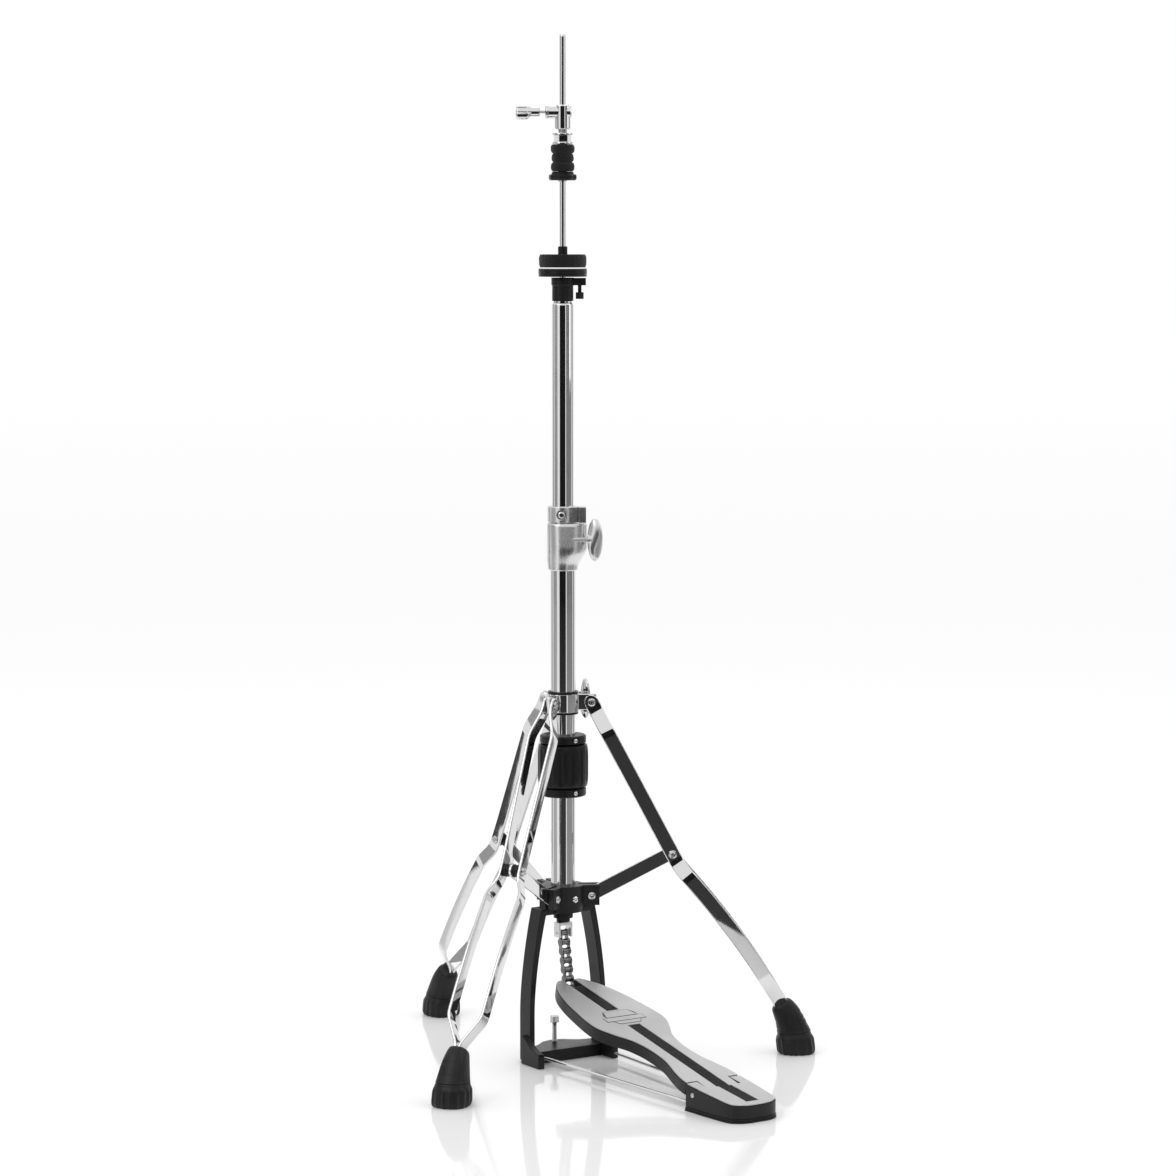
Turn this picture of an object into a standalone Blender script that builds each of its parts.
"""A hi-hat stand: a pedal pulls a rod down through a height-adjustable tube on a folding tripod.

Run with: blender --background --python part.py

The frame has its origin on the tube's axis at the floor. +Z is up, -Y points to the heel of the
pedal, where the player sits, and +X is the player's right. All sizes are in metres.
"""

import math

import bmesh
import bpy
from mathutils import Matrix, Vector

# ---- Clearances ------------------------------------------------------------------------------
GAP = 0.0003              # between two pieces that touch
PLAY = 0.0004             # between a sliding piece and its guide

# ---- Tubes and rods --------------------------------------------------------------------------
LOWER_TUBE_R = 0.0127
LOWER_TUBE_WALL = 0.0012
UPPER_TUBE_R = 0.0111
UPPER_TUBE_WALL = 0.0015
ROD_R = 0.003175
LOWER_ROD_R = 0.004
LOWER_TUBE_TOP = 0.5480
UPPER_TUBE_BOTTOM = 0.4100
UPPER_TUBE_TOP = 0.7780
ROD_TOP = 1.0467

# ---- Tripod ----------------------------------------------------------------------------------
LEG_AZIMUTHS = {"right": -30.0, "rear": 90.0, "left": 210.0}
COLLAR_PIVOT_Z = 0.3687
HUB_PIVOT_Z = 0.1688
PIVOT_RADIUS = 0.0290     # of the collar's and the hub's pivots, from the tube's axis
UPPER_LEG = 0.1780        # from the collar's pivot to the brace's pivot
UPPER_LEG_ANGLE = math.radians(27.85)
LEG_WIDTH = 0.0150
LEG_THICKNESS = 0.0030
LEG_KINK_START = 0.0050   # of the bend below the brace's pivot
LEG_KINK_LENGTH = 0.0200
LEG_KINK_ANGLE = math.radians(13.9)
LEG_BOW_RADIUS = 0.830
LOWER_LEG = 0.1950        # from the brace's pivot to the top of the foot, along the leg
LEG_IN_FOOT = 0.0130
BAR_OFFSET_TOP = 0.0045
BAR_OFFSET_BOWED_TOP = 0.0130
BAR_OFFSET_MIDDLE = 0.0104
BAR_OFFSET_LOWER = 0.0185
BRACE_WIDTH = 0.0146
BRACE_THICKNESS = 0.0030
PIN_R = 0.0025
FOOT_CONTACT_RADIUS = 0.2420

# ---- Leg collar ------------------------------------------------------------------------------
COLLAR_BOTTOM = 0.3591
COLLAR_HEIGHT = 0.0186
COLLAR_R = 0.0162
COLLAR_WALL = 0.0020
BUSH_FLANGE = 0.0021
COLLAR_LUG_HALF = 0.0027
COLLAR_EAR_AZIMUTH = 30.0
COLLAR_EAR_RADIUS = 0.0295

# ---- Lower hub -------------------------------------------------------------------------------
HUB_TOP = 0.1800
HUB_BOTTOM = 0.1525
HUB_R = 0.0220
HUB_LUG_REACH = 0.0370
HUB_LUG_HALF = 0.0085
HUB_SLOT_DEPTH = 0.0152   # radius at which each brace's slot ends

# ---- Tension drum ----------------------------------------------------------------------------
DRUM_BOTTOM = 0.2723
DRUM_RING_HEIGHT = 0.0090
DRUM_GRIP_HEIGHT = 0.0445
DRUM_RING_R = 0.0237
DRUM_GRIP_R = 0.0259
SPRING_BOTTOM = 0.3075    # top face of the adjuster
SPRING_TOP = 0.3850       # underside of the rod's collar
SPRING_R = 0.0082
SPRING_WIRE_R = 0.0011
SPRING_TURNS = 9
ADJUSTER_THICKNESS = 0.0050
ADJUSTER_TRAVEL = 0.0080

# ---- Height clamp, memory lock ---------------------------------------------------------------
CLAMP_BOTTOM = 0.5045
CLAMP_TOP = 0.5525
CLAMP_R_TOP = 0.0162
CLAMP_R_BOTTOM = 0.0151
CLAMP_AZIMUTH = -33.0     # the way the clamp's outer ear and its bolt point
CLAMP_BLOCK_BOTTOM = 0.5155
CLAMP_PANEL_LEFT = 0.0080
CLAMP_PANEL_RIGHT = 0.0105
CLAMP_EAR_INSIDE = 0.0215
CLAMP_EAR_REACH = 0.0250
CLAMP_FRONT = 0.0195
CLAMP_BOLT_FRONT = 0.0152 # of the bolt in front of the tube's axis
CLAMP_BOLT_Z = 0.5366
MEMORY_LOCK_HEIGHT = 0.0165
MEMORY_LOCK_R = 0.0157
MEMORY_LOCK_REACH = 0.0235
LOCK_SCREW_AZIMUTH = -129.0

# ---- Cymbal seat -----------------------------------------------------------------------------
SEAT_BODY_R = 0.0108
SEAT_HEAD_R = 0.0116
SEAT_BODY_TOP = 0.8018
SEAT_HEAD_HEIGHT = 0.0082
SEAT_LUG_AZIMUTH = -33.0
SEAT_LUG_REACH = 0.0235
TILTER_RADIUS = 0.0172
CUP_R = 0.0246
CUP_BOTTOM = 0.8028
CUP_TOP = 0.8115
POST_R = 0.0048
POST_BORE_R = 0.00405
POST_TOP = 0.8334
FELT_TOP = 0.8252

# ---- Clutch ----------------------------------------------------------------------------------
CLUTCH_AZIMUTH = 147.0
CLUTCH_TOP = 0.9760
CLUTCH_BARREL_R = 0.0074
CLUTCH_BARREL_REACH = 0.0177
CLUTCH_BARREL_BACK = 0.0090
CLUTCH_BODY_R = 0.0081
CLUTCH_BODY_BOTTOM = 0.9507
CLUTCH_STEM_R = 0.0047
CLUTCH_STEM_BOTTOM = 0.8985
CLUTCH_NUT_TOP = 0.9473
CLUTCH_NUT_HEIGHT = 0.0111
CLUTCH_WASHER_R = 0.0106
CLUTCH_WASHER_THICKNESS = 0.0023
CLUTCH_NUT_R = 0.0079
CLUTCH_FELT_HEIGHT = 0.0271
CLUTCH_FELT_R = 0.0120
CLUTCH_BOTTOM_NUT_HEIGHT = 0.0087
CLUTCH_BOTTOM_NUT_R = 0.0143

# ---- Pull rod's lower end and chain ----------------------------------------------------------
BUSH_BOTTOM = 0.1410
CLEVIS_TOP = 0.1405
CLEVIS_HEIGHT = 0.0155
CLEVIS_WIDTH = 0.0164
CLEVIS_DEPTH = 0.0100
CLEVIS_SLOT = 0.0122
CLEVIS_PIN_Z = 0.1292
CHAIN_PITCH = 0.009525
CHAIN_LINKS = 6
CHAIN_ROLLER_R = 0.00317
CHAIN_PLATE_R = 0.0040
CHAIN_PIN_R = 0.0015
TOE_PIN_DISTANCE = 0.0105  # of the chain's lower pin in front of the tube's axis

# ---- Pedal frame -----------------------------------------------------------------------------
ARCH_HALF_WIDTH = 0.0470
ARCH_TOP_HALF_WIDTH = 0.0330
ARCH_TOP = 0.1575
ARCH_BAR = 0.0065
ARCH_POST = 0.0060
ARCH_DEPTH = 0.0200
ARCH_SHOULDER_Z = 0.0500  # above this the posts lean inwards
LUG_THICKNESS = 0.0075
LUG_FRONT = 0.0405
LUG_HEIGHT = 0.0150
BASE_PLATE_HEIGHT = 0.0125
BASE_PLATE_FRONT = 0.0195
SPUR_DISTANCE = 0.0165    # behind the tube's axis
SPUR_R = 0.0026
SPUR_HEAD_R = 0.0051
SPUR_TOP = 0.0393
RADIUS_ROD_R = 0.00175
RADIUS_ROD_Z = 0.0065
RADIUS_ROD_PIVOT_Y = -0.0220
ROD_HEEL_X = 0.0245        # where each radius rod enters the heel

# ---- Footboard and heel ----------------------------------------------------------------------
HINGE_DISTANCE = 0.2760   # of the hinge in front of the tube's axis
HINGE_Z = 0.0170
HINGE_PIN_R = 0.0020
FOOTBOARD_SLOPE = math.radians(12.0)
FOOTBOARD_TOP = 0.0080    # top surface above the hinge's axis, at right angles to it
FOOTBOARD_DEPTH = 0.0130
PLATE_THICKNESS = 0.0012
TOE_DISTANCE = 0.0078
TONGUE_HALF_WIDTH = 0.0190
TONGUE_START = 0.2630
TONGUE_END = 0.2820
TOE_SLOT_HALF_WIDTH = 0.0066
GROOVE_HALF_WIDTH = 0.0072
HEEL_FRONT = 0.2650
HEEL_END = 0.3410
HEEL_HALF_WIDTH = 0.0325
HEEL_TOP_AT_FRONT = 0.0272
HEEL_SLOPE = math.radians(7.2)
HEEL_PAD_HEIGHT = 0.0040
HEEL_PAD_OVERHANG = 0.0008

ROUND = 24                # sides of the large turned pieces
SMALL_ROUND = 12          # sides of pins and screws


# ---- Collections and materials ---------------------------------------------------------------
for old in list(bpy.data.objects):
    bpy.data.objects.remove(old)

parts = bpy.data.collections.new("hi_hat_stand")
cutters = bpy.data.collections.new("cutters")
bpy.context.scene.collection.children.link(parts)
bpy.context.scene.collection.children.link(cutters)


def finish(name, colour, metallic, roughness):
    """A plain Principled material."""
    material = bpy.data.materials.new(name)
    material.use_nodes = True
    shader = material.node_tree.nodes["Principled BSDF"]
    shader.inputs["Base Color"].default_value = (*colour, 1.0)
    shader.inputs["Metallic"].default_value = metallic
    shader.inputs["Roughness"].default_value = roughness
    return material


CHROME = finish("chrome", (0.78, 0.78, 0.79), 1.0, 0.06)
CAST_CHROME = finish("cast_chrome", (0.70, 0.70, 0.71), 1.0, 0.20)
STEEL = finish("steel", (0.45, 0.45, 0.46), 1.0, 0.30)
BLACK_METAL = finish("black_metal", (0.03, 0.03, 0.03), 0.3, 0.35)
BLACK_PLASTIC = finish("black_plastic", (0.02, 0.02, 0.02), 0.0, 0.40)
RUBBER = finish("rubber", (0.02, 0.02, 0.02), 0.0, 0.65)
FELT = finish("felt", (0.015, 0.015, 0.015), 0.0, 0.95)
SATIN = finish("satin_aluminium", (0.62, 0.62, 0.62), 1.0, 0.45)


# ---- Ways of making a shape ------------------------------------------------------------------
def add(name, mesh, material, place=None, cutter=False):
    """An object of this mesh, in the parts' collection or among the cutters."""
    shape = bpy.data.objects.new(name, mesh)
    (cutters if cutter else parts).objects.link(shape)
    shape.data.materials.append(material)
    shape.matrix_world = place or Matrix()
    if cutter:
        shape.hide_render = True
        shape.display_type = "WIRE"
    return shape


def put(x=0.0, y=0.0, z=0.0, azimuth=0.0, tilt=0.0):
    """A place: tilted about X, turned about Z and then moved. Angles are in radians."""
    turn = Matrix.Rotation(azimuth, 4, "Z") @ Matrix.Rotation(tilt, 4, "X")
    return Matrix.Translation((x, y, z)) @ turn


def around(azimuth, radius, z):
    """The place on the ring of this radius, with X pointing outwards. The azimuth is in degrees."""
    angle = math.radians(azimuth)
    return put(radius * math.cos(angle), radius * math.sin(angle), z, angle)


def lying(place):
    """The place with its Z laid along its old Y, for a turned piece that runs crosswise."""
    return place @ Matrix.Rotation(-math.pi / 2, 4, "X")


def turned(name, profile, material, place=None, sides=ROUND, closed=False, cutter=False):
    """A profile of (radius, height) spun about Z, read from its top down the outer side."""
    mesh = bpy.data.meshes.new(name)
    edges = [(i, i + 1) for i in range(len(profile) - 1)]
    if closed:
        edges.append((len(profile) - 1, 0))
    mesh.from_pydata([(r, 0.0, z) for r, z in profile], edges, [])
    shape = add(name, mesh, material, place, cutter)
    spin = shape.modifiers.new("spin", "SCREW")
    spin.axis = "Z"
    spin.angle = 2 * math.pi
    spin.steps = sides
    spin.render_steps = sides
    spin.use_merge_vertices = True
    spin.merge_threshold = 0.00001
    spin.use_smooth_shade = True
    return shape


def pipe(name, outer, inner, bottom, top, material, place=None, sides=ROUND, cutter=False):
    """A plain ring or tube."""
    profile = [(inner, top), (outer, top), (outer, bottom), (inner, bottom)]
    return turned(name, profile, material, place, sides, closed=True, cutter=cutter)


def cylinder(name, radius, bottom, top, material, place=None, sides=SMALL_ROUND, cutter=False):
    """A solid cylinder along Z."""
    profile = [(0.0, top), (radius, top), (radius, bottom), (0.0, bottom)]
    return turned(name, profile, material, place, sides, cutter=cutter)


def box(name, low, high, material, place=None, cutter=False):
    """A block between two corners."""
    mesh = bpy.data.meshes.new(name)
    block = bmesh.new()
    bmesh.ops.create_cube(block, size=1.0)
    size = Vector(high) - Vector(low)
    middle = (Vector(high) + Vector(low)) / 2
    bmesh.ops.scale(block, vec=size, verts=block.verts)
    bmesh.ops.translate(block, vec=middle, verts=block.verts)
    block.to_mesh(mesh)
    block.free()
    return add(name, mesh, material, place, cutter)


def as_mesh(curve_object):
    """The curve's shape as a mesh object in the same place, with its caps welded."""
    name = curve_object.name
    bpy.context.view_layer.update()
    evaluated = curve_object.evaluated_get(bpy.context.evaluated_depsgraph_get())
    mesh = bpy.data.meshes.new_from_object(evaluated)
    welded = bmesh.new()
    welded.from_mesh(mesh)
    bmesh.ops.remove_doubles(welded, verts=welded.verts, dist=0.000001)
    welded.to_mesh(mesh)
    welded.free()
    home = curve_object.users_collection[0]
    shape = bpy.data.objects.new(name + "_mesh", mesh)
    shape.matrix_world = curve_object.matrix_world.copy()
    shape.hide_render = curve_object.hide_render
    shape.display_type = curve_object.display_type
    home.objects.link(shape)
    bpy.data.objects.remove(curve_object)
    shape.name = name
    return shape


def flat(name, outlines, thickness, material, place=None, cutter=False):
    """A plate of this thickness, its middle on the local XY plane. Further outlines are holes."""
    curve = bpy.data.curves.new(name, "CURVE")
    curve.dimensions = "2D"
    curve.fill_mode = "BOTH"
    curve.extrude = thickness / 2
    for outline in outlines:
        spline = curve.splines.new("POLY")
        spline.points.add(len(outline) - 1)
        for point, (x, y) in zip(spline.points, outline):
            point.co = (x, y, 0.0, 1.0)
        spline.use_cyclic_u = True
    return as_mesh(add(name, curve, material, place, cutter))


def wire(name, points, radius, material, place=None, cutter=False):
    """A round wire along these points."""
    curve = bpy.data.curves.new(name, "CURVE")
    curve.dimensions = "3D"
    curve.bevel_depth = radius
    curve.bevel_resolution = 2
    curve.use_fill_caps = True
    spline = curve.splines.new("POLY")
    spline.points.add(len(points) - 1)
    for point, co in zip(spline.points, points):
        point.co = (*co, 1.0)
    return as_mesh(add(name, curve, material, place, cutter))


def combine(shape, other, operation):
    """A Boolean of this kind on the shape. The other shape stays where it is."""
    change = shape.modifiers.new(operation.lower(), "BOOLEAN")
    change.operation = operation
    change.object = other
    change.use_hole_tolerant = True


def cut(shape, *others):
    """Takes the other shapes away from this one."""
    for other in others:
        combine(shape, other, "DIFFERENCE")
    return shape


def join(shape, *others):
    """Adds the other shapes to this one. They are moved to the cutters, because they are no pieces."""
    for other in others:
        combine(shape, other, "UNION")
        if other.name in parts.objects:
            parts.objects.unlink(other)
            cutters.objects.link(other)
        other.hide_render = True
        other.display_type = "WIRE"
    return shape


def arc(centre, radius, start, end, steps):
    """Points along an arc, with angles in degrees."""
    points = []
    for i in range(steps + 1):
        angle = math.radians(start + (end - start) * i / steps)
        points.append((centre[0] + radius * math.cos(angle), centre[1] + radius * math.sin(angle)))
    return points


def circle(centre, radius, sides=SMALL_ROUND):
    return arc(centre, radius, 0.0, 360.0, sides)[:-1]


def stadium(length, radius, steps=6):
    """The outline of a bar with round ends, its two end centres on X at 0 and at this length."""
    return arc((length, 0.0), radius, -90.0, 90.0, steps) + arc((0.0, 0.0), radius, 90.0, 270.0, steps)


def smooth(knots, steps=3):
    """Points on a smooth curve (Catmull-Rom) through the knots, open at both ends."""
    padded = [knots[0], *knots, knots[-1]]
    points = []
    for a, b, c, d in zip(padded, padded[1:], padded[2:], padded[3:]):
        for i in range(steps):
            t = i / steps
            points.append(tuple(
                0.5 * (2 * q + (r - p) * t + (2 * p - 5 * q + 4 * r - s) * t ** 2
                       + (3 * q - p - 3 * r + s) * t ** 3)
                for p, q, r, s in zip(a, b, c, d)
            ))
    points.append(tuple(knots[-1]))
    return points


def extruded(skin, face, corners, first):
    """The face at the end of one more stretch of skin, and its corners in the same order."""
    made = bmesh.ops.extrude_face_region(skin, geom=[face])["geom"]
    fresh = [g for g in made if isinstance(g, bmesh.types.BMVert)]
    order = {v: corners.index(min(corners, key=lambda c: (c.co - v.co).length)) for v in fresh}
    if not first:
        bmesh.ops.delete(skin, geom=[face], context="FACES_ONLY")
    end = [g for g in made if isinstance(g, bmesh.types.BMFace)][0]
    return end, sorted(fresh, key=order.get)


def ring_loft(name, rings, material, place, sides=20):
    """A closed skin over ellipses that lie across the place's XZ plane.

    Each ring is (x, z, half length, half width, tilt).
    """
    mesh = bpy.data.meshes.new(name)
    skin = bmesh.new()
    bmesh.ops.create_circle(skin, cap_ends=True, radius=1.0, segments=sides)
    face = skin.faces[:][0]

    def set_ring(verts, ring):
        x, z, long, wide, tilt = ring
        for i, vert in enumerate(verts):
            angle = 2 * math.pi * i / sides
            along = long * math.cos(angle)
            vert.co = (x + along * math.cos(tilt), wide * math.sin(angle), z + along * math.sin(tilt))

    loop = list(face.verts)
    loop.sort(key=lambda v: math.atan2(v.co.y, v.co.x) % (2 * math.pi))
    set_ring(loop, rings[0])
    for number, ring in enumerate(rings[1:]):
        face, loop = extruded(skin, face, loop, number == 0)
        set_ring(loop, ring)
    bmesh.ops.recalc_face_normals(skin, faces=skin.faces)
    skin.to_mesh(mesh)
    skin.free()
    return add(name, mesh, material, place)


def wing_screw(name, material, place, shank, shank_r, hub_r, hub_height, span, height, thickness):
    """A screw along the place's Z: its shank runs down from 0, its hub and two wings stand above 0."""
    profile = [(0.0, hub_height), (hub_r * 0.8, hub_height), (hub_r, 0.0), (shank_r, 0.0),
               (shank_r, -shank), (0.0, -shank)]
    screw = turned(name, profile, material, place, SMALL_ROUND)
    half = smooth([(0.0, hub_height * 0.35), (hub_r * 1.3, hub_height * 0.45),
                   (span * 0.33, height * 0.55), (span * 0.44, height * 0.95),
                   (span * 0.49, height), (span * 0.5, height * 0.85),
                   (span * 0.44, height * 0.45), (span * 0.25, height * 0.12),
                   (hub_r * 0.5, hub_height * 0.1), (0.0, hub_height * 0.1)], 2)
    outline = half + [(-x, y) for x, y in reversed(half)]
    clean = [p for i, p in enumerate(outline) if i == 0 or math.dist(p, outline[i - 1]) > 0.0001]
    upright = place @ Matrix.Rotation(math.pi / 2, 4, "X")
    wings = flat(name + "_wings", [clean], thickness, material, upright, True)
    return join(screw, wings)


# ---- The tripod's shape ----------------------------------------------------------------------
BRACE_PIVOT = (
    PIVOT_RADIUS + UPPER_LEG * math.sin(UPPER_LEG_ANGLE),
    COLLAR_PIVOT_Z - UPPER_LEG * math.cos(UPPER_LEG_ANGLE),
)
BRACE_LENGTH = math.dist(BRACE_PIVOT, (PIVOT_RADIUS, HUB_PIVOT_Z))
BRACE_ANGLE = math.atan2(BRACE_PIVOT[1] - HUB_PIVOT_Z, BRACE_PIVOT[0] - PIVOT_RADIUS)
LEG_END = UPPER_LEG + LOWER_LEG


def leg_angle(along):
    """The leg's lean from the vertical at this distance along it."""
    past_kink = along - UPPER_LEG - LEG_KINK_START
    if past_kink <= 0:
        return UPPER_LEG_ANGLE
    if past_kink < LEG_KINK_LENGTH:
        return UPPER_LEG_ANGLE + LEG_KINK_ANGLE * past_kink / LEG_KINK_LENGTH
    return UPPER_LEG_ANGLE + LEG_KINK_ANGLE - (past_kink - LEG_KINK_LENGTH) / LEG_BOW_RADIUS


def leg_point(along, step=0.0005):
    """(outwards, up) of the leg's middle from the collar's pivot, at this distance along it."""
    straight = min(along, UPPER_LEG + LEG_KINK_START)
    x = straight * math.sin(UPPER_LEG_ANGLE)
    z = -straight * math.cos(UPPER_LEG_ANGLE)
    done = straight
    while done < along - 1e-9:
        stride = min(step, along - done)
        angle = leg_angle(done + stride / 2)
        x += stride * math.sin(angle)
        z -= stride * math.cos(angle)
        done += stride
    return x, z


def bar_offset(along):
    """How far one bar's middle stands from the leg's middle plane."""
    knots = [
        (0.010, BAR_OFFSET_TOP), (0.034, BAR_OFFSET_BOWED_TOP),
        (UPPER_LEG - 0.022, BAR_OFFSET_MIDDLE), (UPPER_LEG + 0.010, BAR_OFFSET_MIDDLE),
        (UPPER_LEG + 0.028, BAR_OFFSET_LOWER), (LEG_END - 0.031, BAR_OFFSET_LOWER),
        (LEG_END - 0.002, LEG_THICKNESS / 2 + GAP),
    ]
    window = 0.004

    def straight(s):
        if s <= knots[0][0]:
            return knots[0][1]
        for (a, low), (b, high) in zip(knots, knots[1:]):
            if s <= b:
                return low + (high - low) * (s - a) / (b - a)
        return knots[-1][1]

    return sum(straight(along + window * (i - 2) / 2) for i in range(5)) / 5


def leg_stations():
    """Distances along a leg bar at which its section is set, closer together at the bends.

    The first three, with angles in degrees, round off the bar's upper end.
    """
    half = LEG_WIDTH / 2
    stations = [-half * math.cos(math.radians(a)) for a in (14, 38, 64)]
    stations += [0.0, 0.006, 0.010, 0.014, 0.030, 0.034, 0.038]
    stations += [UPPER_LEG - d for d in (0.026, 0.022, 0.018)]
    stations += [UPPER_LEG + d for d in (0.005, 0.010, 0.015, 0.020, 0.026, 0.032)]
    stations += [UPPER_LEG + d for d in (0.060, 0.090, 0.120)]
    stations += [LEG_END - d for d in (0.035, 0.031, 0.027, 0.016, 0.006, 0.002)]
    stations.append(LEG_END + 0.002)
    stations.append(LEG_END + LEG_IN_FOOT)
    return stations


def leg_bar(name, side, place):
    """One flat bar of a leg. Side is +1 or -1, for the bar towards +Y or -Y of the place."""
    mesh = bpy.data.meshes.new(name)
    bar = bmesh.new()
    bmesh.ops.create_grid(bar, x_segments=1, y_segments=1, size=1.0)
    face = bar.faces[:][0]
    corners = sorted(face.verts, key=lambda v: math.atan2(v.co.y, v.co.x))

    def set_section(verts, along):
        x, z = leg_point(max(along, 0.0))
        lean = leg_angle(along)
        if along < 0:
            x += along * math.sin(lean)
            z -= along * math.cos(lean)
        down = Vector((math.sin(lean), 0.0, -math.cos(lean)))
        slope = (bar_offset(along + 0.001) - bar_offset(along - 0.001)) / 0.002
        tangent = (down + Vector((0.0, slope, 0.0))).normalized()
        wide = Vector((math.cos(lean), 0.0, math.sin(lean)))
        thick = tangent.cross(wide).normalized()
        if thick.y < 0:
            thick = -thick
        half_wide = LEG_WIDTH / 2
        if along < 0:
            half_wide = math.sqrt(half_wide ** 2 - along ** 2)
        centre = Vector((x, bar_offset(along), z))
        for vert, (w, t) in zip(verts, ((-1, -1), (1, -1), (1, 1), (-1, 1))):
            co = centre + wide * (w * half_wide) + thick * (t * LEG_THICKNESS / 2)
            vert.co = (co.x, side * co.y, co.z)

    stations = leg_stations()
    set_section(corners, stations[0])
    for number, along in enumerate(stations[1:]):
        face, corners = extruded(bar, face, corners, number == 0)
        set_section(corners, along)
    bmesh.ops.recalc_face_normals(bar, faces=bar.faces)
    bar.to_mesh(mesh)
    bar.free()
    return add(name, mesh, CHROME, place)


def crosswise(place, x, z):
    """A place on the leg's plane at (outwards, up), with Z along the pivot."""
    return lying(place @ Matrix.Translation((x, 0.0, z)))


def make_leg(side_name, azimuth):
    """Two bars, their pins, the brace and the foot of one leg."""
    collar_place = around(azimuth, PIVOT_RADIUS, COLLAR_PIVOT_Z)
    brace_x = BRACE_PIVOT[0] - PIVOT_RADIUS
    brace_z = BRACE_PIVOT[1] - COLLAR_PIVOT_Z
    hole = PIN_R + GAP

    top_hole = cylinder(f"cut_top_pin_{side_name}", hole, -0.03, 0.03, STEEL,
                        crosswise(collar_place, 0.0, 0.0), cutter=True)
    middle_hole = cylinder(f"cut_brace_pin_{side_name}", hole, -0.03, 0.03, STEEL,
                           crosswise(collar_place, brace_x, brace_z), cutter=True)
    for number, side in (("a", 1), ("b", -1)):
        bar = leg_bar(f"leg_bar_{side_name}_{number}", side, collar_place)
        cut(bar, top_hole, middle_hole)

    face = BAR_OFFSET_TOP + LEG_THICKNESS / 2 + GAP
    head = 0.0042
    end = face + 0.0016
    profile = [(0.0, end), (head * 0.8, end), (head, end - 0.0006), (head, face), (PIN_R, face),
               (PIN_R, -face), (head, -face), (head, 0.0006 - end), (head * 0.8, -end), (0.0, -end)]
    turned(f"leg_pin_{side_name}", profile, STEEL, crosswise(collar_place, 0.0, 0.0), SMALL_ROUND)

    face = BAR_OFFSET_MIDDLE + LEG_THICKNESS / 2 + GAP
    inner = BAR_OFFSET_MIDDLE - LEG_THICKNESS / 2 - GAP
    near = BRACE_THICKNESS / 2 + GAP
    head = 0.0046
    end = face + 0.0019
    spacer = 0.0066
    half = [(head * 0.75, end), (head, end - 0.0009), (head, face), (PIN_R, face),
            (PIN_R, inner), (spacer, inner), (spacer, near), (PIN_R, near)]
    profile = [(0.0, end), *half, *[(r, -z) for r, z in reversed(half)], (0.0, -end)]
    turned(f"brace_pin_{side_name}", profile, BLACK_PLASTIC,
           crosswise(collar_place, brace_x, brace_z), SMALL_ROUND)

    brace_outline = stadium(BRACE_LENGTH, BRACE_WIDTH / 2)
    holes = [circle((0.0, 0.0), hole), circle((BRACE_LENGTH, 0.0), hole)]
    brace_place = collar_place @ Matrix.Translation((brace_x, 0.0, brace_z))
    brace_place = brace_place @ Matrix.Rotation(math.pi - BRACE_ANGLE, 4, "Y")
    brace_place = brace_place @ Matrix.Rotation(math.pi / 2, 4, "X")
    flat(f"brace_{side_name}", [brace_outline, *holes], BRACE_THICKNESS, CHROME, brace_place)

    make_foot(side_name, collar_place)


def make_foot(side_name, collar_place):
    """The rubber foot that both bars of a leg end in."""
    x, z = leg_point(LEG_END)
    x += PIVOT_RADIUS
    z += COLLAR_PIVOT_Z
    lean = leg_angle(LEG_END)
    down = Vector((math.sin(lean), -math.cos(lean)))
    contact = FOOT_CONTACT_RADIUS
    rings = [
        (x, z, 0.0095, 0.0080, lean),
        (x + 0.003 * down.x, z + 0.003 * down.y, 0.0130, 0.0108, lean),
        (x + 0.015 * down.x, z + 0.015 * down.y, 0.0160, 0.0140, lean * 0.8),
        (contact - 0.0030, 0.0245, 0.0190, 0.0172, 0.12),
        (contact - 0.0018, 0.0195, 0.0210, 0.0195, 0.05),
        (contact, 0.0040, 0.0216, 0.0205, 0.0),
        (contact, 0.0, 0.0190, 0.0180, 0.0),
    ]
    place = around(math.degrees(collar_place.to_euler().z), 0.0, 0.0)
    foot = ring_loft(f"foot_{side_name}", rings, RUBBER, place)
    socket_x, socket_z = leg_point(LEG_END - 0.004)
    socket_place = collar_place @ Matrix.Translation((socket_x, 0.0, socket_z))
    socket_place = socket_place @ Matrix.Rotation(-lean, 4, "Y")
    half_wide = LEG_WIDTH / 2 + GAP + 0.0002
    half_thick = LEG_THICKNESS + 2 * GAP + 0.0002
    socket = box(f"cut_socket_{side_name}", (-half_wide, -half_thick, -LEG_IN_FOOT - 0.0050),
                 (half_wide, half_thick, 0.010), STEEL, socket_place, True)
    cut(foot, socket)


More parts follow.
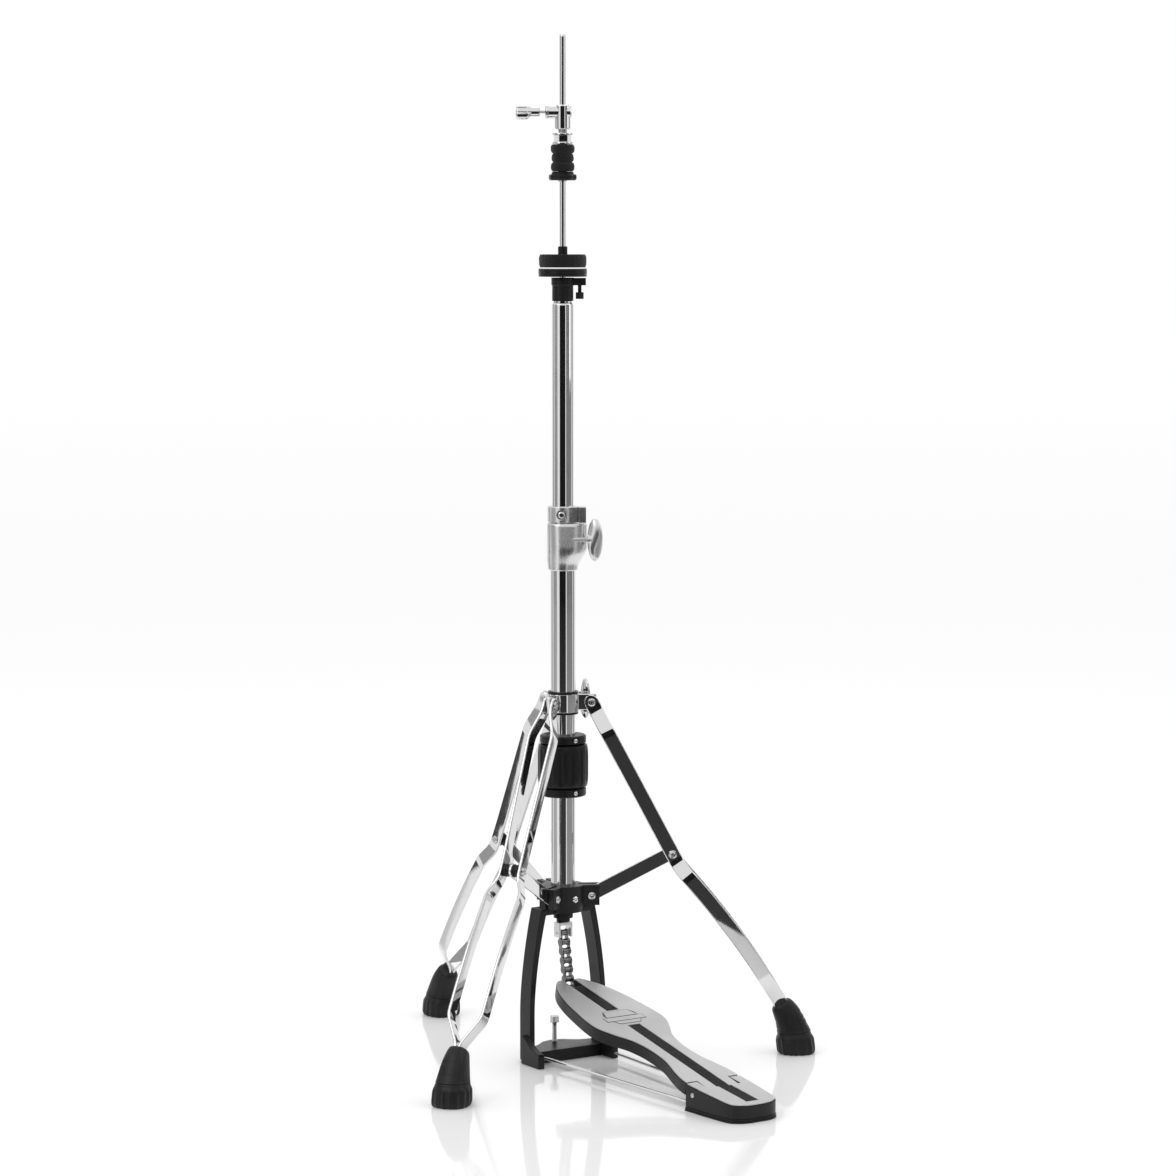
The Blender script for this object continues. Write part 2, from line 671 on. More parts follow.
def make_collar():
    """The sliding collar that carries the legs, its bush and its wing screw."""
    bottom = COLLAR_BOTTOM
    top = bottom + COLLAR_HEIGHT
    inner = COLLAR_R - COLLAR_WALL
    collar = pipe("leg_collar", COLLAR_R, inner, bottom, top, CHROME)
    for side_name, azimuth in LEG_AZIMUTHS.items():
        lug = box(f"collar_lug_{side_name}", (inner + 0.0008, -COLLAR_LUG_HALF, bottom + 0.0014),
                  (PIVOT_RADIUS + 0.0052, COLLAR_LUG_HALF, top - 0.0007), CHROME,
                  around(azimuth, 0.0, 0.0), True)
        hole = cylinder(f"cut_collar_lug_{side_name}", PIN_R + GAP, -0.006, 0.006, STEEL,
                        crosswise(around(azimuth, PIVOT_RADIUS, COLLAR_PIVOT_Z), 0.0, 0.0), cutter=True)
        join(collar, lug)
        cut(collar, hole)
    ear_place = around(COLLAR_EAR_AZIMUTH, 0.0, 0.0)
    ears = box("collar_ears", (inner + 0.0008, -0.0048, bottom + 0.0030),
               (COLLAR_EAR_RADIUS + 0.0060, 0.0048, top - 0.0012), CHROME, ear_place, True)
    join(collar, ears)
    slit = box("cut_collar_slit", (0.010, -0.0010, bottom - 0.01), (0.040, 0.0010, top + 0.01),
               STEEL, ear_place, True)
    screw_z = bottom + COLLAR_HEIGHT * 0.58
    screw_place = around(COLLAR_EAR_AZIMUTH, COLLAR_EAR_RADIUS, screw_z)
    screw_r = 0.0024
    hole = cylinder("cut_collar_screw", screw_r + GAP, -0.01, 0.01, STEEL, lying(screw_place),
                    cutter=True)
    cut(collar, slit, hole)
    flange = COLLAR_R - 0.0008
    bush_r = inner - GAP
    low = bottom - GAP
    high = top + GAP
    bore = LOWER_TUBE_R + GAP
    profile = [(bore, high + BUSH_FLANGE), (flange, high + BUSH_FLANGE), (flange, high), (bush_r, high),
               (bush_r, low), (flange, low), (flange, low - BUSH_FLANGE), (bore, low - BUSH_FLANGE)]
    turned("collar_bush", profile, BLACK_PLASTIC, closed=True)
    facing = screw_place @ Matrix.Rotation(math.pi / 2, 4, "X") @ Matrix.Rotation(math.pi / 2, 4, "Z")
    head_face = 0.0048 + GAP
    wing_screw("collar_wing_screw", CHROME, facing @ Matrix.Translation((0.0, 0.0, head_face)),
               head_face + 0.0065, screw_r, 0.0044, 0.0050, 0.0420, 0.0115, 0.0030)


def make_hub():
    """The casting that the braces pivot in, around the bottom of the lower tube."""
    low = ARCH_TOP + 0.0015
    turn = math.degrees(math.asin(HUB_LUG_HALF / HUB_R))
    outline = []
    for azimuth in LEG_AZIMUTHS.values():
        angle = math.radians(azimuth)
        out = Vector((math.cos(angle), math.sin(angle)))
        across = Vector((-out.y, out.x)) * HUB_LUG_HALF
        outline += [tuple(out * HUB_LUG_REACH - across), tuple(out * HUB_LUG_REACH + across)]
        outline += arc((0.0, 0.0), HUB_R, azimuth + turn, azimuth + 120.0 - turn, 6)
    hub = flat("leg_hub", [outline], HUB_TOP - low, BLACK_METAL, put(z=(HUB_TOP + low) / 2))
    barrel = cylinder("hub_barrel", HUB_R - 0.0015, HUB_BOTTOM, HUB_TOP - 0.005, BLACK_METAL,
                      sides=ROUND, cutter=True)
    join(hub, barrel)
    hole = cylinder("cut_hub_bore", LOWER_TUBE_R + GAP, 0.10, 0.25, STEEL, sides=ROUND, cutter=True)
    saddle = box("cut_hub_saddle", (-0.06, -ARCH_DEPTH / 2 - GAP, 0.10),
                 (0.06, ARCH_DEPTH / 2 + GAP, ARCH_TOP + GAP), STEEL, None, True)
    cut(hub, hole, saddle)
    for side_name, azimuth in LEG_AZIMUTHS.items():
        place = around(azimuth, 0.0, 0.0)
        half = BRACE_THICKNESS / 2 + GAP
        slot = box(f"cut_brace_slot_{side_name}", (HUB_SLOT_DEPTH, -half, 0.12), (0.06, half, 0.25),
                   STEEL, place, True)
        facing = 1 if side_name != "right" else -1
        bolt_place = lying(around(azimuth, PIVOT_RADIUS, HUB_PIVOT_Z))
        if facing < 0:
            bolt_place = bolt_place @ Matrix.Rotation(math.pi, 4, "X")
        bolt_hole = cylinder(f"cut_hub_bolt_{side_name}", PIN_R + GAP, 0.0, 0.03, STEEL,
                             bolt_place, cutter=True)
        cut(hub, slot, bolt_hole)
        face = HUB_LUG_HALF + GAP
        head = 0.0040
        profile = [(0.0, face + 0.0018), (head, face + 0.0014), (head, face), (PIN_R, face),
                   (PIN_R, half), (0.0, half)]
        turned(f"hub_bolt_{side_name}", profile, STEEL, bolt_place, SMALL_ROUND)


def make_tubes():
    """The two tubes, the rods inside them and the bush below."""
    bottom = ARCH_TOP + GAP
    inner = LOWER_TUBE_R - LOWER_TUBE_WALL
    lower = pipe("lower_tube", LOWER_TUBE_R, inner, bottom, LOWER_TUBE_TOP, CHROME)
    low = SPRING_BOTTOM - ADJUSTER_THICKNESS - ADJUSTER_TRAVEL - 0.001
    high = SPRING_BOTTOM + ADJUSTER_TRAVEL + 0.001
    slots = box("cut_adjuster_slots", (-0.03, -0.0026, low), (0.03, 0.0026, high), STEEL, None, True)
    cut(lower, slots)

    outer = UPPER_TUBE_R
    inner = outer - UPPER_TUBE_WALL
    profile = [(inner, UPPER_TUBE_TOP), (outer - 0.0012, UPPER_TUBE_TOP),
               (outer, UPPER_TUBE_TOP - 0.0045), (outer, UPPER_TUBE_BOTTOM), (inner, UPPER_TUBE_BOTTOM)]
    turned("upper_tube", profile, CHROME, closed=True)

    socket_r = ROD_R + GAP
    collar_top = SPRING_TOP + 0.006
    socket_top = collar_top + 0.014
    socket_floor = collar_top + 0.004
    rod_bottom = CLEVIS_TOP - 0.003 - GAP
    profile = [(0.0, socket_floor), (socket_r, socket_floor), (socket_r, socket_top),
               (0.0065, socket_top), (0.0065, collar_top), (0.0095, collar_top), (0.0095, SPRING_TOP),
               (LOWER_ROD_R, SPRING_TOP), (LOWER_ROD_R, rod_bottom), (0.0, rod_bottom)]
    turned("lower_rod", profile, STEEL, sides=20)
    tip = ROD_R * 0.55
    profile = [(0.0, ROD_TOP), (tip, ROD_TOP), (ROD_R, ROD_TOP - 0.0025), (ROD_R, socket_floor + GAP),
               (0.0, socket_floor + GAP)]
    turned("upper_rod", profile, CHROME, sides=20)

    flange = 0.0100
    shank = 0.0070
    bore = LOWER_ROD_R + PLAY
    under = ARCH_TOP - ARCH_BAR - GAP
    profile = [(bore, 0.1700), (shank, 0.1700), (shank, under), (flange, under), (flange, 0.1452),
               (shank, 0.1452), (shank, BUSH_BOTTOM), (bore, BUSH_BOTTOM)]
    turned("rod_bush", profile, BLACK_PLASTIC, sides=24, closed=True)


def make_drum():
    """The spring's tension drum: two fixed rings, the grip that turns, the adjuster and the spring."""
    bore = LOWER_TUBE_R + GAP
    grip_bottom = DRUM_BOTTOM + DRUM_RING_HEIGHT + GAP
    grip_top = grip_bottom + DRUM_GRIP_HEIGHT
    top_bottom = grip_top + GAP
    soft = 0.0012
    for name, low in (("drum_bottom_ring", DRUM_BOTTOM), ("drum_top_ring", top_bottom)):
        high = low + DRUM_RING_HEIGHT
        profile = [(bore, high), (DRUM_RING_R - soft, high), (DRUM_RING_R, high - soft),
                   (DRUM_RING_R, low + soft), (DRUM_RING_R - soft, low), (bore, low)]
        turned(name, profile, BLACK_PLASTIC, closed=True)
    wall = 0.0032
    tabs_r = 0.0168
    profile = [(bore, grip_top), (DRUM_RING_R - 0.0014, grip_top),
               (DRUM_GRIP_R - 0.0008, grip_top - 0.0050), (DRUM_GRIP_R, grip_top - 0.012),
               (DRUM_GRIP_R, grip_bottom + 0.012),
               (DRUM_GRIP_R - 0.0008, grip_bottom + 0.0050), (DRUM_RING_R - 0.0014, grip_bottom),
               (bore, grip_bottom), (bore, grip_bottom + wall), (tabs_r + PLAY, grip_bottom + wall),
               (tabs_r + PLAY, grip_top - wall), (bore, grip_top - wall)]
    turned("drum_grip", profile, BLACK_PLASTIC, closed=True)

    low = SPRING_BOTTOM - ADJUSTER_THICKNESS
    disc_r = LOWER_TUBE_R - LOWER_TUBE_WALL - GAP
    adjuster = pipe("spring_adjuster", disc_r, LOWER_ROD_R + PLAY, low, SPRING_BOTTOM, STEEL, sides=24)
    for side in (-1, 1):
        near, far = sorted((side * 0.0095, side * tabs_r))
        tab = box(f"adjuster_tab_{side}", (near, -0.0022, low + 0.0004),
                  (far, 0.0022, SPRING_BOTTOM - 0.0004), STEEL, None, True)
        join(adjuster, tab)

    start = SPRING_BOTTOM + GAP + SPRING_WIRE_R
    rise = SPRING_TOP - GAP - SPRING_WIRE_R - start
    per_turn = 10
    points = []
    for i in range(SPRING_TURNS * per_turn + 1):
        turn = i / per_turn
        angle = 2 * math.pi * turn
        share = min(max((turn - 0.75) / (SPRING_TURNS - 1.5), 0.0), 1.0)
        height = start + 2.2 * SPRING_WIRE_R * min(turn, 0.75) / 0.75
        height += 2.2 * SPRING_WIRE_R * max(turn - SPRING_TURNS + 0.75, 0.0) / 0.75
        height += (rise - 4.4 * SPRING_WIRE_R) * share
        points.append((SPRING_R * math.cos(angle), SPRING_R * math.sin(angle), height))
    wire("return_spring", points, SPRING_WIRE_R, STEEL)


def make_height_clamp():
    """The casting that grips the upper tube, its wing bolt, and the memory lock above it."""
    bore = LOWER_TUBE_R + GAP
    lip_r = UPPER_TUBE_R + PLAY
    lip = LOWER_TUBE_TOP + GAP
    profile = [(0.0, CLAMP_TOP), (CLAMP_R_TOP - 0.0005, CLAMP_TOP), (CLAMP_R_TOP, CLAMP_TOP - 0.0008),
               (CLAMP_R_TOP, CLAMP_BLOCK_BOTTOM), (CLAMP_R_BOTTOM, CLAMP_BOTTOM), (0.0, CLAMP_BOTTOM)]
    clamp = turned("height_clamp", profile, CAST_CHROME)
    place = around(CLAMP_AZIMUTH, 0.0, 0.0)
    block = box("clamp_block", (-CLAMP_PANEL_LEFT, -CLAMP_FRONT, CLAMP_BLOCK_BOTTOM),
                (CLAMP_EAR_REACH, 0.0045, CLAMP_TOP - 0.0012), CAST_CHROME, place, True)
    pocket = box("cut_clamp_pocket", (CLAMP_PANEL_RIGHT, -0.04, CLAMP_BLOCK_BOTTOM - 0.0015),
                 (CLAMP_EAR_INSIDE, -0.0050, CLAMP_TOP + 0.01), STEEL, place, True)
    profile = [(0.0, CLAMP_TOP + 0.01), (lip_r, CLAMP_TOP + 0.01), (lip_r, lip), (bore, lip),
               (bore, CLAMP_BOTTOM - 0.01), (0.0, CLAMP_BOTTOM - 0.01)]
    tube_hole = turned("cut_clamp_bore", profile, STEEL, cutter=True)
    bolt_r = 0.0026
    bolt_place = place @ Matrix.Translation((0.0, -CLAMP_BOLT_FRONT, CLAMP_BOLT_Z))
    bolt_place = bolt_place @ Matrix.Rotation(math.pi / 2, 4, "Y")
    shank_end = 0.0030
    bolt_hole = cylinder("cut_clamp_bolt", bolt_r + GAP, shank_end - 0.0005, 0.04, STEEL,
                         bolt_place, cutter=True)
    join(clamp, block)
    cut(clamp, tube_hole, pocket, bolt_hole)
    head_face = CLAMP_EAR_REACH + GAP
    wing_screw("height_wing_bolt", CAST_CHROME, bolt_place @ Matrix.Translation((0.0, 0.0, head_face)),
               head_face - shank_end, bolt_r, 0.0056, 0.0080, 0.0440, 0.0125, 0.0040)

    low = CLAMP_TOP + 3 * GAP
    high = low + MEMORY_LOCK_HEIGHT
    soft = 0.0008
    inner = UPPER_TUBE_R + GAP
    profile = [(0.0, high), (MEMORY_LOCK_R - soft, high), (MEMORY_LOCK_R, high - soft),
               (MEMORY_LOCK_R, low + soft), (MEMORY_LOCK_R - soft, low), (0.0, low)]
    lock = turned("memory_lock", profile, CAST_CHROME)
    boss = box("lock_boss", (0.0, -0.0138, low + 0.0004), (MEMORY_LOCK_REACH, 0.0070, high - 0.0004),
               CAST_CHROME, place, True)
    groove = box("cut_lock_groove", (0.0141, -0.04, low - 0.01), (0.0161, -0.0090, high + 0.01),
                 STEEL, place, True)
    tube_hole = cylinder("cut_lock_bore", inner, low - 0.01, high + 0.01, STEEL,
                         sides=ROUND, cutter=True)
    screw_place = around(LOCK_SCREW_AZIMUTH, 0.0, (low + high) / 2)
    screw_place = screw_place @ Matrix.Rotation(math.pi / 2, 4, "Y")
    recess = cylinder("cut_lock_recess", 0.0052, 0.0134, 0.03, STEEL, screw_place, cutter=True)
    join(lock, boss)
    cut(lock, tube_hole, groove, recess)


def make_seat():
    """The lower cymbal's seat on top of the upper tube, with its tilter."""
    bore = POST_BORE_R + 0.0003
    step = SEAT_BODY_TOP - SEAT_HEAD_HEIGHT
    plug_r = UPPER_TUBE_R - UPPER_TUBE_WALL - GAP
    shoulder = UPPER_TUBE_TOP + GAP
    profile = [(bore, SEAT_BODY_TOP), (SEAT_HEAD_R, SEAT_BODY_TOP), (SEAT_HEAD_R, step + 0.001),
               (SEAT_BODY_R, step), (SEAT_BODY_R, shoulder), (plug_r, shoulder),
               (plug_r, shoulder - 0.022), (bore, shoulder - 0.022)]
    body = turned("seat_body", profile, BLACK_PLASTIC, closed=True)
    place = around(SEAT_LUG_AZIMUTH, 0.0, 0.0)
    lug = box("seat_lug", (bore + 0.002, -0.0045, step + 0.0005),
              (SEAT_LUG_REACH, 0.0045, SEAT_BODY_TOP - 0.0003), BLACK_PLASTIC, place, True)
    tilter_place = around(SEAT_LUG_AZIMUTH, TILTER_RADIUS, 0.0)
    tilter_r = 0.0020
    hole = cylinder("cut_tilter", tilter_r + GAP, 0.70, 0.90, STEEL, tilter_place, cutter=True)
    join(body, lug)
    cut(body, hole)
    knob_top = step - 0.0065
    profile = [(0.0, SEAT_BODY_TOP - 0.0006), (tilter_r, SEAT_BODY_TOP - 0.0006), (tilter_r, knob_top),
               (0.0040, knob_top), (0.0040, knob_top - 0.0068), (0.0, knob_top - 0.0068)]
    turned("tilter_screw", profile, BLACK_METAL, tilter_place, SMALL_ROUND)

    rim = 0.0006
    profile = [(POST_BORE_R, POST_TOP), (POST_R - rim, POST_TOP), (POST_R, POST_TOP - rim),
               (POST_R, CUP_TOP), (CUP_R - rim, CUP_TOP),
               (CUP_R, CUP_TOP - rim), (CUP_R, CUP_BOTTOM + rim), (CUP_R - rim, CUP_BOTTOM),
               (POST_BORE_R, CUP_BOTTOM)]
    turned("seat_cup", profile, BLACK_PLASTIC, closed=True)
    profile = [(POST_R + GAP, FELT_TOP), (CUP_R - 0.0014, FELT_TOP), (CUP_R, FELT_TOP - 0.0014),
               (CUP_R, CUP_TOP + GAP + 0.0010), (CUP_R - 0.0010, CUP_TOP + GAP),
               (POST_R + GAP, CUP_TOP + GAP)]
    turned("seat_felt", profile, FELT, closed=True)


def make_clutch():
    """The clutch that clamps the upper cymbal to the rod."""
    bore = ROD_R + GAP
    barrel_z = CLUTCH_TOP - CLUTCH_BARREL_R
    profile = [(bore, CLUTCH_TOP - 0.0004), (CLUTCH_BODY_R, CLUTCH_TOP - 0.0004),
               (CLUTCH_BODY_R, CLUTCH_BODY_BOTTOM),
               (CLUTCH_STEM_R, CLUTCH_BODY_BOTTOM), (CLUTCH_STEM_R, CLUTCH_STEM_BOTTOM),
               (bore, CLUTCH_STEM_BOTTOM)]
    body = turned("clutch_body", profile, CHROME, sides=24, closed=True)
    outwards = around(CLUTCH_AZIMUTH, 0.0, barrel_z) @ Matrix.Rotation(math.pi / 2, 4, "Y")
    barrel = cylinder("clutch_barrel", CLUTCH_BARREL_R, -CLUTCH_BARREL_BACK, CLUTCH_BARREL_REACH,
                      CHROME, outwards, 24, True)
    rod_hole = cylinder("cut_clutch_rod", bore, 0.90, 1.0, STEEL, sides=24, cutter=True)
    screw_r = 0.0020
    screw_hole = cylinder("cut_clutch_screw", screw_r + GAP, 0.0, 0.03, STEEL, outwards, cutter=True)
    join(body, barrel)
    cut(body, rod_hole, screw_hole)

    neck = CLUTCH_BARREL_REACH + 0.0052
    grip = neck + 0.0098
    end = grip + 0.0145
    profile = [(0.0, end), (0.0070, end), (0.0082, end - 0.0020), (0.0078, grip + 0.0020),
               (0.0056, grip), (0.0054, neck), (screw_r, neck), (screw_r, bore + GAP), (0.0, bore + GAP)]
    turned("clutch_screw", profile, CHROME, outwards, SMALL_ROUND)

    inner = CLUTCH_STEM_R + GAP
    top = CLUTCH_NUT_TOP
    bottom = top - CLUTCH_NUT_HEIGHT
    washer = CLUTCH_WASHER_THICKNESS
    profile = [(inner, top), (CLUTCH_WASHER_R, top), (CLUTCH_WASHER_R, top - washer),
               (CLUTCH_NUT_R, top - washer), (CLUTCH_NUT_R, bottom + washer),
               (CLUTCH_WASHER_R, bottom + washer), (CLUTCH_WASHER_R, bottom), (inner, bottom)]
    turned("clutch_top_nut", profile, CHROME, sides=24, closed=True)

    top = bottom - GAP
    bottom = top - CLUTCH_FELT_HEIGHT
    third = CLUTCH_FELT_HEIGHT / 3
    outline = [(inner, top)]
    for number, radius in enumerate((CLUTCH_FELT_R, CLUTCH_FELT_R - 0.0009, CLUTCH_FELT_R)):
        high = top - number * third
        outline += [(radius - 0.0020, high - 0.0001), (radius, high - third * 0.3),
                    (radius, high - third * 0.7), (radius - 0.0020, high - third + 0.0001)]
    outline.append((inner, bottom))
    turned("clutch_felts", outline, FELT, sides=24, closed=True)

    top = bottom - GAP
    bottom = top - CLUTCH_BOTTOM_NUT_HEIGHT
    wide = CLUTCH_BOTTOM_NUT_R
    profile = [(inner, top), (wide - 0.0030, top), (wide - 0.0030, top - 0.0026),
               (wide - 0.0010, top - 0.0028), (wide, top - 0.0040), (wide, bottom + 0.0015),
               (wide - 0.0014, bottom), (inner, bottom)]
    turned("clutch_bottom_nut", profile, BLACK_PLASTIC, sides=24, closed=True)


def toe_pin():
    """(y, z) of the chain's lower pin, one chain's length from its upper pin."""
    length = CHAIN_PITCH * CHAIN_LINKS
    drop = math.sqrt(length ** 2 - TOE_PIN_DISTANCE ** 2)
    return -TOE_PIN_DISTANCE, CLEVIS_PIN_Z - drop


def chain_place(down, joint):
    """The place of one of the chain's pins, with Z along the pin."""
    step = Matrix.Translation((0.0, 0.0, -joint * CHAIN_PITCH))
    return down @ step @ Matrix.Rotation(math.pi / 2, 4, "Y")


def make_chain():
    """The clevis and the roller chain to the footboard's toe."""
    half = CLEVIS_WIDTH / 2
    deep = CLEVIS_DEPTH / 2
    clevis = box("clevis", (-half, -deep, CLEVIS_TOP - CLEVIS_HEIGHT), (half, deep, CLEVIS_TOP), CHROME)
    slot = box("cut_clevis_slot", (-CLEVIS_SLOT / 2, -0.02, 0.10),
               (CLEVIS_SLOT / 2, 0.02, CLEVIS_TOP - 0.003), STEEL, None, True)
    rod_hole = cylinder("cut_clevis_rod", LOWER_ROD_R + GAP, 0.13, 0.15, STEEL, cutter=True)
    along_x = put(0.0, 0.0, CLEVIS_PIN_Z, math.pi / 2, math.pi / 2)
    pin = cylinder("clevis_pin", CHAIN_PIN_R, -half - 0.0006, half + 0.0006, STEEL, along_x, 12, True)
    cut(clevis, slot, rod_hole)
    join(clevis, pin)

    toe_y, toe_z = toe_pin()
    lean = math.atan2(-toe_y, CLEVIS_PIN_Z - toe_z)
    down = put(0.0, 0.0, CLEVIS_PIN_Z) @ Matrix.Rotation(-lean, 4, "X")
    chain = None
    for link in range(CHAIN_LINKS):
        inside, outside = (0.0029, 0.0041) if link % 2 == 0 else (0.0044, 0.0054)
        for side in (-1, 1):
            place = chain_place(down, link) @ Matrix.Translation((0.0, 0.0, side * (inside + outside) / 2))
            outline = stadium(CHAIN_PITCH, CHAIN_PLATE_R, 3)
            first = chain is None
            name = "chain" if first else f"chain_plate_{link}_{side}"
            plate = flat(name, [outline], outside - inside, STEEL, place, not first)
            if first:
                chain = plate
            else:
                join(chain, plate)
    for joint in range(CHAIN_LINKS + 1):
        place = chain_place(down, joint) @ Matrix.Rotation(0.11, 4, "Z")
        body = 0.0046 if joint == CHAIN_LINKS else 0.0031
        ends = 0.0057
        if joint in (0, CHAIN_LINKS):
            profile = [(0.0, body), (CHAIN_ROLLER_R, body), (CHAIN_ROLLER_R, -body), (0.0, -body)]
        else:
            upper = [(0.0, ends), (CHAIN_PIN_R, ends), (CHAIN_PIN_R, body), (CHAIN_ROLLER_R, body)]
            profile = upper + [(r, -z) for r, z in reversed(upper)]
        join(chain, turned(f"chain_roller_{joint}", profile, STEEL, place, 8, cutter=True))
    for joint in (0, CHAIN_LINKS):
        place = chain_place(down, joint) @ Matrix.Rotation(0.05, 4, "Z")
        bore = CHAIN_PIN_R + (PLAY if joint == 0 else 2 * PLAY)
        cut(chain, cylinder(f"cut_chain_{joint}", bore, -0.01, 0.01, STEEL, place, 10, True))


def make_pedal_frame():
    """The arch that the tube stands on, with its base plate and the lugs for the radius rods."""
    width = ARCH_HALF_WIDTH
    top = ARCH_TOP_HALF_WIDTH
    lean = width - top
    rise = ARCH_TOP - ARCH_SHOULDER_Z
    foot = 0.0010
    outer = [(width, foot), (width, ARCH_SHOULDER_Z)]
    inner = [(width - ARCH_POST, foot), (width - ARCH_POST, ARCH_SHOULDER_Z)]
    steps = 5
    for i in range(1, steps + 1):
        share = i / steps
        x = width - lean * share ** 1.7
        outer.append((x, ARCH_SHOULDER_Z + rise * share))
        inner.append((x - ARCH_POST - 0.0002, ARCH_SHOULDER_Z + (rise - ARCH_BAR) * share))
    half = list(reversed(inner)) + outer
    left = [(-x, z) for x, z in half]
    outline = half + list(reversed(left))
    upright = Matrix.Rotation(math.pi / 2, 4, "X")
    frame = flat("pedal_frame", [outline], ARCH_DEPTH, BLACK_METAL, upright)
    hole = cylinder("cut_frame_bush", 0.0070 + GAP, 0.12, 0.18, STEEL, sides=24, cutter=True)

    back = smooth([(0.0, SPUR_DISTANCE + 0.0075), (0.012, SPUR_DISTANCE + 0.0045), (0.026, 0.0105),
                   (width - ARCH_POST + 0.001, 0.0070)], 3)
    plate_half = [(0.0, -BASE_PLATE_FRONT), (width - ARCH_POST + 0.001, -BASE_PLATE_FRONT)] + back[::-1]
    plate_outline = plate_half[1:-1] + [(-x, y) for x, y in plate_half[:0:-1]]
    plate = flat("base_plate", [plate_outline], BASE_PLATE_HEIGHT, BLACK_METAL,
                 put(z=BASE_PLATE_HEIGHT / 2), True)
    join(frame, plate)
    for side_name, side in (("right", 1), ("left", -1)):
        lug_outline = [(ARCH_DEPTH / 2 - 0.003, foot / 2), (LUG_FRONT, foot / 2),
                       (LUG_FRONT, LUG_HEIGHT - 0.002), (LUG_FRONT - 0.002, LUG_HEIGHT),
                       (0.036, LUG_HEIGHT + 0.0005), (0.022, 0.0215), (ARCH_DEPTH / 2, 0.0300),
                       (ARCH_DEPTH / 2 - 0.003, 0.0300)]
        middle = side * (width + 0.0020 - LUG_THICKNESS / 2)
        place = put(middle, azimuth=-math.pi / 2, tilt=math.pi / 2)
        lug = flat(f"frame_lug_{side_name}", [lug_outline], LUG_THICKNESS, BLACK_METAL, place, True)
        join(frame, lug)
        wire(f"radius_rod_{side_name}", radius_rod_points(side), RADIUS_ROD_R, CHROME)
        rod_place = put(0.0, RADIUS_ROD_PIVOT_Y, RADIUS_ROD_Z)
        rod_place = rod_place @ Matrix.Rotation(side * math.pi / 2, 4, "Y")
        rod_hole = cylinder(f"cut_lug_{side_name}", RADIUS_ROD_R + 0.0005, 0.030, 0.060, STEEL,
                            rod_place, cutter=True)
        cut(frame, rod_hole)
    spur_place = put(0.0, SPUR_DISTANCE, 0.0)
    spur_hole = cylinder("cut_spur", SPUR_R + GAP, -0.01, 0.03, STEEL, spur_place, cutter=True)
    cut(frame, hole, spur_hole)
    profile = [(0.0, SPUR_TOP), (SPUR_HEAD_R - 0.0006, SPUR_TOP), (SPUR_HEAD_R, SPUR_TOP - 0.0006),
               (SPUR_HEAD_R, SPUR_TOP - 0.0066), (SPUR_R, SPUR_TOP - 0.0072), (SPUR_R, 0.0040),
               (0.0, 0.0008)]
    turned("spur", profile, STEEL, spur_place, SMALL_ROUND)


def radius_rod_points(side):
    """The rod's route: hooked through the frame's lug, then straight to the heel."""
    reach = ARCH_HALF_WIDTH + 0.0035
    inside = ARCH_HALF_WIDTH - 0.0095
    y = RADIUS_ROD_PIVOT_Y
    z = RADIUS_ROD_Z
    bend = [(inside + 0.0032, y, z), (inside + 0.0010, y - 0.0010, z), (inside, y - 0.0032, z)]
    route = [(reach, y, z), *bend, (ROD_HEEL_X, -HEEL_FRONT - 0.010, z)]
    return [(side * px, py, pz) for px, py, pz in route]


def footboard_half():
    """The footboard's outline on its +X side, as (half width, distance in front of the tube's axis)."""
    knots = [(0.0130, TOE_DISTANCE), (0.0190, 0.0145), (0.0287, 0.0330), (0.0360, 0.0590),
             (0.0405, 0.0870), (0.0427, 0.1080), (0.0418, 0.1240), (0.0345, 0.1420),
             (0.0250, 0.1600), (0.0203, 0.1840), (0.0212, 0.2120), (0.0275, 0.2370),
             (0.0305, 0.2520), (0.0312, TONGUE_START)]
    return smooth(knots, 3)


def footboard_local(outline, inset=0.0):
    """Distances in front of the tube's axis as lengths along the sloping board from the hinge."""
    return [(max(x - inset, 0.0), (HINGE_DISTANCE - d) / math.cos(FOOTBOARD_SLOPE)) for x, d in outline]


